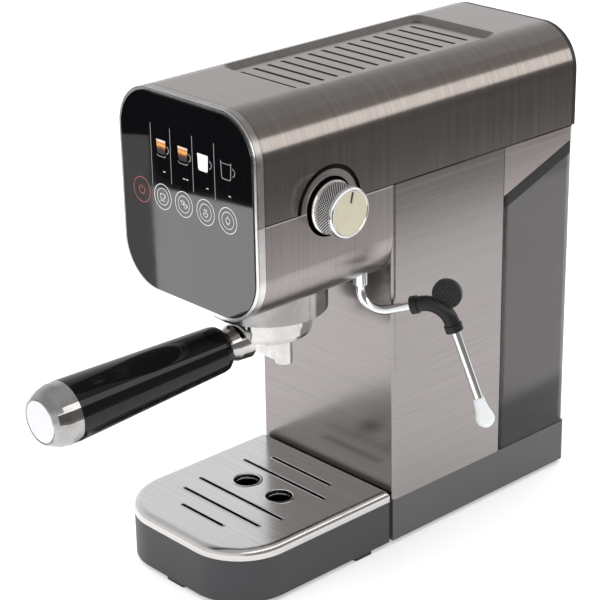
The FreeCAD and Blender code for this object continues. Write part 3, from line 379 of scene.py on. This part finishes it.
finishes = {
    coverSteel: ["top_cover"],
    frameSteel: ["front_frame_upper"],
    headSteel: ["head_shell"],
    columnSteel: ["column_shell"],
    hoodSteel: ["rear_hood"],
    grateSteel: ["drip_grate"],
    insideSteel: ["base_screws", "rear_screws", "shower_screen", "shower_screw", "boiler_bolts",
                  "pump_bracket", "steam_pipe", "valve_needle", "valve_spindle", "wand_pipe",
                  "filter_basket", "basket_spring", "handle_rod"],
    chrome: ["steam_knob", "handle_ferrule", "wand_gland", "wand_upper_tube", "wand_lower_tube"],
    capChromeDarkened: ["handle_cap"],
    lowerRimLit: ["front_frame_lower"],
    castAluminium: ["group_collar", "group_head", "boiler_block", "boiler_lid"],
    bowlMetal: ["portafilter_body", "spout"],
    charcoal: ["drip_tray"],
    baseCharcoalLit: ["base_housing"],
    blackPlastic: ["base_plate", "cable_gland", "column_back", "panel_carrier", "rear_panel",
                   "hood_floor", "tank_lid", "tank_grip", "pump_coil"],
    panelGlass: ["touch_panel"],
    gloss: ["handle_grip"],
    rubber: ["base_feet", "tray_feet", "tank_seal", "group_gasket"],
    elbowRubber: ["wand_elbow"],
    gapShadeBlack: ["knob_well"],
    smoked: ["tank_body"],
    frosted: ["nozzle_cap"],
    brass: ["pump_core", "steam_valve"],
    silicone: ["suction_hose", "pressure_hose"],
    circuit: ["control_board"],
    dialFace: ["knob_dial"],
    capDisc: ["cap_disc"],
}
for material, names in finishes.items():
    for name in names:
        slots = nodes[name].data.materials
        slots.clear()
        slots.append(material)
bare = sorted(set(nodes) - {n for names in finishes.values() for n in names})
print("finishes given to", len(nodes) - len(bare), "nodes, without one:", bare)

shot = {"azimuth": 47.60, "elevation": 22.47, "roll": -1.06, "distance": 1.3919,
        "target": (-0.0395, -0.0040, 0.1466), "lens": 120, "sensor": 36, "reach": 30}
az, el, roll = (math.radians(shot[k]) for k in ("azimuth", "elevation", "roll"))
back = Vector((math.sin(az) * math.cos(el), -math.cos(az) * math.cos(el), math.sin(el)))
level = (-back).cross(Vector((0, 0, 1))).normalized()
upright = level.cross(-back)
right = level * math.cos(roll) + upright * math.sin(roll)
up = upright * math.cos(roll) - level * math.sin(roll)
camera = bpy.data.objects.new("camera", bpy.data.cameras.new("camera"))
camera.data.lens = shot["lens"]
camera.data.sensor_width = shot["sensor"]
camera.data.clip_end = shot["reach"]
eye = Vector(shot["target"]) + back * shot["distance"]
camera.matrix_world = Matrix.Translation(eye) @ Matrix((right, up, back)).transposed().to_4x4()
bpy.context.scene.collection.objects.link(camera)
bpy.context.scene.camera = camera


def meshObject(name, points, faces, material, smooth=True):
    mesh = bpy.data.meshes.new(name)
    mesh.from_pydata([tuple(p) for p in points], [], faces)
    mesh.validate()
    mesh.materials.append(material)
    for polygon in mesh.polygons:
        polygon.use_smooth = smooth
    thing = bpy.data.objects.new(name, mesh)
    bpy.context.scene.collection.objects.link(thing)
    return thing


def plainCard(name, corners, strength):         # glossy surfaces see it, the camera does not
    paint = Paint(name)
    glow = paint.make("Emission", {}, {"Color": (1, 0.985, 0.965, 1), "Strength": strength})
    paint.make("OutputMaterial", {}, {"Surface": glow}, out=None)
    card = meshObject(name, corners, [tuple(range(len(corners)))], paint.material, False)
    card.visible_camera = False
    card.visible_diffuse = False
    card.visible_shadow = False
    card.visible_transmission = False


floorLook = {"dark": (0.86, 0.86, 0.86), "light": (0.90, 0.90, 0.90), "roughness": 0.85,
             "glow": 0.36, "half": 9}
floorPaint = Paint("floor")
floorCloud = floorPaint.noise((3, 3, 3), 2, 0.5)
floorTone = floorPaint.blendColour(floorCloud, floorLook["dark"], floorLook["light"])
floorPaint.shade(floorTone, floorLook["roughness"], None, Emission_Color=(1.0, 1.0, 1.0, 1),
                 Emission_Strength=floorLook["glow"])
half = floorLook["half"]
floor = meshObject("floor", [(-half, -half, 0), (half, -half, 0), (half, half, 0), (-half, half, 0)],
                   [(0, 1, 2, 3)], floorPaint.material, False)

skyLook = {"from": 0.30, "to": 0.85, "horizon": 1.0, "zenith": 0.55, "tint": (0.985, 0.985, 1.0, 1)}
sky = Paint("studio", "worlds")                 # bright near the horizon, dimmer overhead
_, _, skyZ = sky.axes("Generated")
fade = sky.make("MapRange", {"interpolation_type": "SMOOTHSTEP"},
                {"Value": skyZ, "From Min": skyLook["from"], "From Max": skyLook["to"],
                 "To Min": skyLook["horizon"], "To Max": skyLook["zenith"]})
glow = sky.make("Background", {}, {"Color": skyLook["tint"], "Strength": fade})
sky.make("OutputWorld", {}, {"Surface": glow}, out=None)
bpy.context.scene.world = sky.material


def softLight(name, place, aimAt, size, power):
    light = bpy.data.lights.new(name, "AREA")
    light.shape = "RECTANGLE"
    light.size, light.size_y = size
    light.energy = power
    lamp = bpy.data.objects.new(name, light)
    lamp.location = place
    lamp.rotation_euler = (Vector(aimAt) - Vector(place)).to_track_quat("-Z", "Y").to_euler()
    lamp.visible_glossy = False
    bpy.context.scene.collection.objects.link(lamp)


softLight("overhead", (-0.2, 0.1, 1.7), (0, 0, 0.1), (1.8, 1.8), 24)
softLight("frontLeft", (-1.1, -1.3, 1.0), (0, 0, 0.15), (0.9, 0.9), 8)

sideCards = {"x": 0.42, "y": (-0.45, 1.6),      # the rest: height from, to, and brightness
             "low": (0.040, 0.10, 0.38), "dark": (0.10, 0.34, 0.23), "strip": (0.345, 0.585, 2.5),
             "upper": (0.59, 1.6, 0.52)}
for part in ("low", "dark", "strip", "upper"):
    low, high, strength = sideCards[part]
    (y0, y1), x = sideCards["y"], sideCards["x"]
    plainCard("card" + part, [(x, y0, low), (x, y1, low), (x, y1, high), (x, y0, high)], strength)
frontCards = {"cardFront": {"height": 0.002, "glow": 0.010, "outline": (
                  (-1.9, -1.9), (0.4, -1.9), (0.4, -0.812), (-0.72, -0.585), (-0.9, -0.61))},
              "cardStrip": {"height": 0.004, "glow": 0.42, "outline": (
                  (-0.762, -0.702), (-0.36, -0.390), (-0.42, -0.34), (-0.84, -0.648))}}
for name, card in frontCards.items():
    plainCard(name, [(x, y, card["height"]) for x, y in card["outline"]], card["glow"])
bpy.context.scene.view_settings.view_transform = "Standard"
print("studio ready")


def place(thing, body, slotName, *stands):      # a new piece's body and the nodes it stands for
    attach(thing, body)
    if stands:
        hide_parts(*stands)


def lathe(name, profile, start, axis, material, turns=96, wave=None):
    axis = Vector(axis).normalized()            # profile: (distance along the axis, radius), in millimetres
    side = axis.cross(Vector((0, 0, 1)) if abs(axis.z) < 0.9 else Vector((1, 0, 0))).normalized()
    other = axis.cross(side)
    points, faces = [], []
    for s, r in profile:
        for k in range(turns):
            a = 2 * math.pi * k / turns
            reach = r + (wave(a, s, r) if wave else 0)
            outward = side * math.cos(a) + other * math.sin(a)
            points.append(Vector(start) + (axis * s + outward * reach) * mm)
    for i in range(len(profile) - 1):
        for k in range(turns):
            n = (k + 1) % turns
            faces.append((i * turns + k, i * turns + n, (i + 1) * turns + n, (i + 1) * turns + k))
    for ring in (0, len(profile) - 1):
        if profile[ring][1] > 0.01 and profile[0] != profile[-1]:
            loop = tuple(range(ring * turns, (ring + 1) * turns))
            faces.append(loop[::-1] if ring == 0 else loop)
    return meshObject(name, points, faces, material)


knob = {"axisY": -73, "axisZ": 260, "radius": 16.6, "flange": 17.4, "cuts": 56, "lean": 1.5, "depth": 0.75,
        "from": 3.4, "to": 15.2, "rows": 48, "turns": 504,
        "face": ((0.9, 16.2), (0.3, 15.75), (0, 15.2), (0, 14.45), (0.9, 14.35), (0.9, 0.0))}
low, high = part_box("steam_knob")
knobLength = (high.x - low.x) / mm
rise = [(0, knob["flange"]), (1.7, knob["flange"]), (2.1, knob["flange"] - 0.2), (2.5, knob["radius"] - 0.1),
        (3.2, knob["radius"] - 0.3)]
for i in range(knob["rows"] + 1):
    rise.append((knob["from"] + (knob["to"] - knob["from"]) * i / knob["rows"], knob["radius"]))
rise += [(15.4, 16.1), (15.7, 16.35), (16.3, 16.45)]
rise += [(knobLength - back, radius) for back, radius in knob["face"]]


def knurl(a, s, r):                             # two crossing sets of cuts leave small diamonds
    if not knob["from"] <= s <= knob["to"]:
        return 0.0
    first = abs(math.sin(knob["cuts"] * a / 2 + s * knob["lean"]))
    second = abs(math.sin(knob["cuts"] * a / 2 - s * knob["lean"]))
    fade = min(1, (s - knob["from"]) / 0.5, (knob["to"] - s) / 0.5)
    return -knob["depth"] * fade * (1 - min(first, second))


def knurledChrome(name, look):                  # chrome painted dark in its cuts: painted shade in the knurl grooves
    paint = Paint(name)
    x, y, z = paint.axes()
    out = ((y - look["at"][0]) ** 2 + (z - look["at"][1]) ** 2) ** 0.5
    haze = paint.noise((90, 90, 90), 3, 0.6)
    crest = paint.step(out, look["deep"], look["crest"])
    start, end = look["band"]
    band = paint.band(x, (start - look["fade"], start), (end, end + look["fade"]))
    tone = paint.blendColour(crest, look["cut"], look["light"])
    tone = paint.blendColour(band, look["rim"], tone)
    rough = look["roughness"] + haze * 0.05 + band * 0.10
    return paint.shade(tone, rough, paint.bump(haze, 0.00001), Metallic=1.0)


knurledLook = {"at": (knob["axisY"] * mm, knob["axisZ"] * mm), "deep": 0.01595, "crest": 0.01650,
               "band": (low.x + knob["from"] * mm, low.x + knob["to"] * mm), "fade": 0.0002,
               "cut": (0.05, 0.048, 0.046), "light": (0.72, 0.71, 0.70), "rim": (0.74, 0.74, 0.745),
               "roughness": 0.08}
knurled = knurledChrome("knurledChrome", knurledLook)
knobPiece = lathe("steamKnobGrip", rise, (low.x, knob["axisY"] * mm, knob["axisZ"] * mm), (1, 0, 0), knurled,
                  knob["turns"], knurl)
place(knobPiece, "knob", "chrome", "steam_knob")
print("knurled knob ready")


def inkPaint(name, look):                       # printed ink on glass: slightly uneven film, with a faint glow that is painted light
    paint = Paint(name)
    film = paint.noise((700, 700, 700), 2, 0.6)
    tone = paint.blendColour(film, look["dark"], look["light"])
    return paint.shade(tone, 0.35 + film * 0.1, None, Emission_Color=tone, Emission_Strength=look["glow"])


whiteInk = inkPaint("whiteInk", {"dark": (0.62, 0.62, 0.63), "light": (0.80, 0.80, 0.81), "glow": 0.22})
greyInk = inkPaint("greyInk", {"dark": (0.26, 0.26, 0.27), "light": (0.36, 0.36, 0.37), "glow": 0.10})
redInk = inkPaint("redInk", {"dark": (0.42, 0.06, 0.07), "light": (0.52, 0.10, 0.10), "glow": 0.15})
milkInk = inkPaint("milkInk", {"dark": (0.78, 0.79, 0.80), "light": (0.88, 0.88, 0.88), "glow": 0.22})


def layeredInk(name, look):                     # coffee dark at the foot of the cup, gold and cream above; the picture also glows faintly, as painted light
    paint = Paint(name)
    _, _, z = paint.axes()
    swirl = paint.noise((260, 260, 200), 2, 0.6)
    fill = paint.step(z, look["low"], look["high"]) + (swirl - 0.5) * 0.35
    tone = paint.make("ValToRGB", {"stops": look["layers"]}, {"Fac": fill})
    return paint.shade(tone, 0.35, None, Emission_Color=tone, Emission_Strength=look["glow"])


coffeeLook = {"low": 0.2862, "high": 0.2976, "glow": 0.18, "layers": [
    (0.0, (0.002, 0.001, 0.001)), (0.42, (0.030, 0.008, 0.003)), (0.58, (0.28, 0.085, 0.015)),
    (0.74, (0.80, 0.36, 0.07)), (0.90, (0.42, 0.16, 0.035)), (0.98, (0.72, 0.60, 0.48))]}
coffeeInk = layeredInk("coffeeInk", coffeeLook)


class Print:                                    # flat marks laid just proud of one face
    def __init__(self, name, material, spot):
        self.name, self.material, self.spot = name, material, spot
        self.points, self.faces = [], []

    def strip(self, inner, outer, closed):
        start, count = len(self.points), len(inner)
        self.points += [self.spot(*p) for p in inner] + [self.spot(*p) for p in outer]
        for k in range(count if closed else count - 1):
            n = (k + 1) % count
            self.faces.append((start + k, start + n, start + count + n, start + count + k))

    def ring(self, x, z, r0, r1, a0=0, a1=360):
        closed = a1 - a0 >= 360
        steps = 72 if closed else 40
        gaps = steps if closed else steps - 1
        angles = [math.radians(a0 + (a1 - a0) * k / gaps) for k in range(steps)]
        self.strip([(x + r0 * math.cos(a), z + r0 * math.sin(a)) for a in angles],
                   [(x + r1 * math.cos(a), z + r1 * math.sin(a)) for a in angles], closed)

    def line(self, path, width, closed=False):
        path = [Vector(p) for p in path]
        inner, outer = [], []
        for k, p in enumerate(path):
            before = path[k - 1] if k or closed else p
            after = path[(k + 1) % len(path)] if k + 1 < len(path) or closed else p
            one = (p - before).normalized() if p != before else (after - p).normalized()
            two = (after - p).normalized() if p != after else one
            across = Vector((-(one + two).y, (one + two).x)).normalized()
            reach = width / 2 / max(0.4, across.dot(Vector((-one.y, one.x))))
            inner.append(p - across * reach)
            outer.append(p + across * reach)
        self.strip([tuple(p) for p in inner], [tuple(p) for p in outer], closed)

    def patch(self, outline):
        start = len(self.points)
        self.points += [self.spot(*p) for p in outline]
        self.faces.append(tuple(range(start, start + len(outline))))

    def done(self, body, slotName):
        place(meshObject(self.name, self.points, self.faces, self.material, False), body, slotName)


proud = 0.00004                                 # metres, how far a print stands off its face
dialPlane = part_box("knob_dial")[1].x + proud


def onDial(y, z):
    return dialPlane, y * mm, z * mm


darkInk = inkPaint("darkInk", {"dark": (0.020, 0.016, 0.012), "light": (0.034, 0.028, 0.022), "glow": 0.0})
pointerMark = {"from": (-72.7, 266.4), "to": (-70.9, 273.2), "width": 1.7}
pointer = Print("dialPointer", darkInk, onDial)
pointer.line([pointerMark["from"], pointerMark["to"]], pointerMark["width"])
pointer.done("knob", "champagne")

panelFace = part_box("touch_panel")[0].y - proud


def onPanel(x, z):
    return x * mm, panelFace, z * mm


def shifted(path, x, z):
    return [(x + dx, z + dz) for dx, dz in path]


keys = {"x": (-43.8, -23.0, -2.4, 18.4, 39.3), "z": 259.8, "outer": 8.5, "inner": 5.6, "line": 0.42,
        "innerLine": 0.8, "pen": 0.34}          # millimetres from the middle of the machine and the floor
marks = Print("panelRings", whiteInk, onPanel)
for x in keys["x"][1:]:
    marks.ring(x, keys["z"], keys["outer"] - keys["line"], keys["outer"])
    marks.ring(x, keys["z"], keys["inner"] - keys["line"] * keys["innerLine"], keys["inner"])
powerX, oneX, twoX, steamX, waterX = keys["x"]
keyZ = keys["z"]


def tinyCup(x, z, w, h):                        # side view of a cup with its ear
    marks.line([(x - w, z + h), (x - w * 0.8, z - h * 0.7), (x - w * 0.4, z - h), (x + w * 0.4, z - h),
                (x + w * 0.8, z - h * 0.7), (x + w, z + h)], keys["pen"], True)
    marks.ring(x + w * 1.05, z + h * 0.15, h * 0.38, h * 0.38 + 0.3, -90, 90)


cupSigns = {"one": (-0.3, 0.1, 2.1, 1.7), "saucer": ((-2.6, -2.7), (2.0, -2.7)),
            "two": ((-1.4, 0.9, 1.4, 1.15), (1.3, -1.0, 1.4, 1.15))}
dx, dz, w, h = cupSigns["one"]
tinyCup(oneX + dx, keyZ + dz, w, h)
marks.line(shifted(cupSigns["saucer"], oneX, keyZ), keys["pen"])
for dx, dz, w, h in cupSigns["two"]:
    tinyCup(twoX + dx, keyZ + dz, w, h)

steamSign = {"bowl": (1.9, 2.25), "bowlDown": 0.9, "brim": ((-2.4, -0.7), (2.4, -0.7)),
             "at": (-1.2, 0.0, 1.2), "wisp": ((0.0, 0.1), (0.35, 0.8), (-0.25, 1.5), (0.2, 2.3)),
             "pen": 0.32}
marks.ring(steamX, keyZ - steamSign["bowlDown"], *steamSign["bowl"], 180, 360)
marks.line(shifted(steamSign["brim"], steamX, keyZ), keys["pen"])
for dx in steamSign["at"]:
    marks.line(shifted(steamSign["wisp"], steamX + dx, keyZ), steamSign["pen"])

dropSign = {"steps": 28, "size": 2.0, "wide": 0.9, "taper": 0.35, "down": 0.6,
            "tip": {13: 0.4, 14: 1.2, 15: 0.4}, "gleam": (0.9, 1.2, 200, 300), "gleamAt": (-0.1, -0.7)}
drop = []
for k in range(dropSign["steps"]):
    a = math.pi * 2 * k / dropSign["steps"]
    out = dropSign["size"] * math.sin(a) * (1 - dropSign["taper"] * math.cos(a)) * dropSign["wide"]
    lift = dropSign["tip"].get(k, 0)            # the top is drawn up to a point
    drop.append((waterX + out, keyZ - dropSign["down"] - dropSign["size"] * math.cos(a) + lift))
marks.line(drop, keys["pen"], True)
dx, dz = dropSign["gleamAt"]
marks.ring(waterX + dx, keyZ + dz, *dropSign["gleam"])

dashes = {"half": 1.1, "apart": 2.9, "pen": 0.5,    # one or two short dashes over a key
          "at": ((-20.4, 276.9, 1), (0.3, 276.9, 2), (21.0, 275.9, 1), (41.8, 275.9, 1))}
for x, z, count in dashes["at"]:
    for k in range(count):
        shift = (k - (count - 1) / 2) * dashes["apart"]
        marks.line([(x - dashes["half"] + shift, z), (x + dashes["half"] + shift, z)], dashes["pen"])
marks.done("machine", "panel_black")

ruleLines = {"top": 306.6, "pen": 0.42, "at": ((-32.6, 265.6), (-13.6, 270.6), (7.6, 270.6), (28.2, 270.6))}
cupOutlines = {
    "ears": ((-18.0, 291.6), (3.3, 291.6), (23.0, 291.6), (44.5, 291.6)), "ear": (2.3, 2.75, -80, 80),
    "glass": ((34.3, 297.4), (34.9, 286.9), (36.0, 286.1), (42.0, 286.1), (43.1, 286.9), (43.7, 297.4)),
    "glassPen": 0.5, "water": ((34.5, 296.0), (43.6, 296.0)), "waterPen": 0.35, "saucerPen": 0.4,
    "saucers": (((-27.0, 287.6), (-26.0, 286.4), (-19.4, 286.4), (-18.4, 287.6)),
                ((-6.2, 287.6), (-5.2, 286.4), (2.0, 286.4), (3.0, 287.6)))}
rules = Print("panelRules", greyInk, onPanel)
for x, low in ruleLines["at"]:
    rules.line([(x, ruleLines["top"]), (x, low)], ruleLines["pen"])
for x, z in cupOutlines["ears"]:
    rules.ring(x, z, *cupOutlines["ear"])
rules.line(cupOutlines["glass"], cupOutlines["glassPen"])
rules.line(cupOutlines["water"], cupOutlines["waterPen"])
for saucer in cupOutlines["saucers"]:
    rules.line(saucer, cupOutlines["saucerPen"])
rules.done("machine", "panel_black")

powerSign = {"rim": 0.4, "ring": (2.5, 2.95, 125, 415), "bar": ((0.0, 0.6), (0.0, 3.4)), "pen": 0.45}
power = Print("powerMark", redInk, onPanel)
power.ring(powerX, keyZ, keys["outer"] - powerSign["rim"], keys["outer"])
power.ring(powerX, keyZ, *powerSign["ring"])
power.line(shifted(powerSign["bar"], powerX, keyZ), powerSign["pen"])
power.done("machine", "panel_black")

drinks = {
    "coffee": (((-27.2, 297.3), (-26.6, 289.2), (-25.6, 288.2), (-19.8, 288.2), (-18.8, 289.2),
                (-18.2, 297.3)),
               ((-6.4, 297.3), (-5.8, 289.2), (-4.8, 288.2), (1.4, 288.2), (2.4, 289.2), (3.0, 297.3))),
    "milk": ((12.4, 297.0), (13.0, 287.0), (14.0, 286.2), (20.8, 286.2), (21.8, 287.0), (22.4, 297.0))}
coffee = Print("coffeePictures", coffeeInk, onPanel)
for outline in drinks["coffee"]:
    coffee.patch(outline)
coffee.done("machine", "panel_black")
milk = Print("milkPicture", milkInk, onPanel)
milk.patch(drinks["milk"])
milk.done("machine", "panel_black")
print("panel prints ready")

lips = {"holes": ((-16.4, -77.4), (16.4, -77.4)), "top": 41.5, "width": 2.4, "around": 40, "turns": 72,
        "slots": ((-41.9, 29.3), (-58.5, 41.0), (-98.1, 41.9), (-115.0, 38.4), (-131.3, 21.2)),
        "holeShape": [(-3.2, 8.75), (-2.6, 9.0), (-0.4, 9.0), (0.3, 9.15), (0.55, 9.5), (0.5, 9.9),
                      (0.2, 10.4), (0.02, 11.0), (-0.2, 11.0), (-0.4, 9.6), (-3.2, 9.3), (-3.2, 8.75)],
        "slotShape": [(-0.05, -1.3), (0.0, -0.2), (0.12, 0.12), (0.35, 0.24), (0.75, 0.17), (1.15, 0.01)]}
lipLook = {"dark": (0.60, 0.59, 0.58), "light": (0.72, 0.71, 0.70), "roughness": 0.10, "cloud": 0.06,
           "scuff": 0.06, "depth": 0.00001}
lipSteel = polished("lipSteel", lipLook)
for number, (x, y) in enumerate(lips["holes"]):
    centre = (x * mm, y * mm, lips["top"] * mm)
    lip = lathe("holeLip" + str(number + 1), lips["holeShape"], centre, (0, 0, 1), lipSteel, lips["turns"])
    place(lip, "grate", "brushed_steel")
around, radius = lips["around"], lips["width"] / 2
points, faces = [], []
for y, half in lips["slots"]:                   # each slot: its place along Y, and half its length
    base = len(points)
    for out, rise in lips["slotShape"]:
        r = radius + out
        for k in range(around):
            a = 2 * math.pi * k / around - math.pi / 2 + 1e-6    # just past upright, so each end takes half
            side = 1 if math.cos(a) > 0 else -1
            points.append(((side * (half - radius) + r * math.cos(a)) * mm, (y + r * math.sin(a)) * mm,
                           (lips["top"] + rise) * mm))
    for i in range(len(lips["slotShape"]) - 1):
        for k in range(around):
            n = (k + 1) % around
            faces.append((base + i * around + k, base + i * around + n, base + (i + 1) * around + n,
                          base + (i + 1) * around + k))
place(meshObject("slotLips", points, faces, lipSteel), "grate", "brushed_steel")
print("grate lips ready")
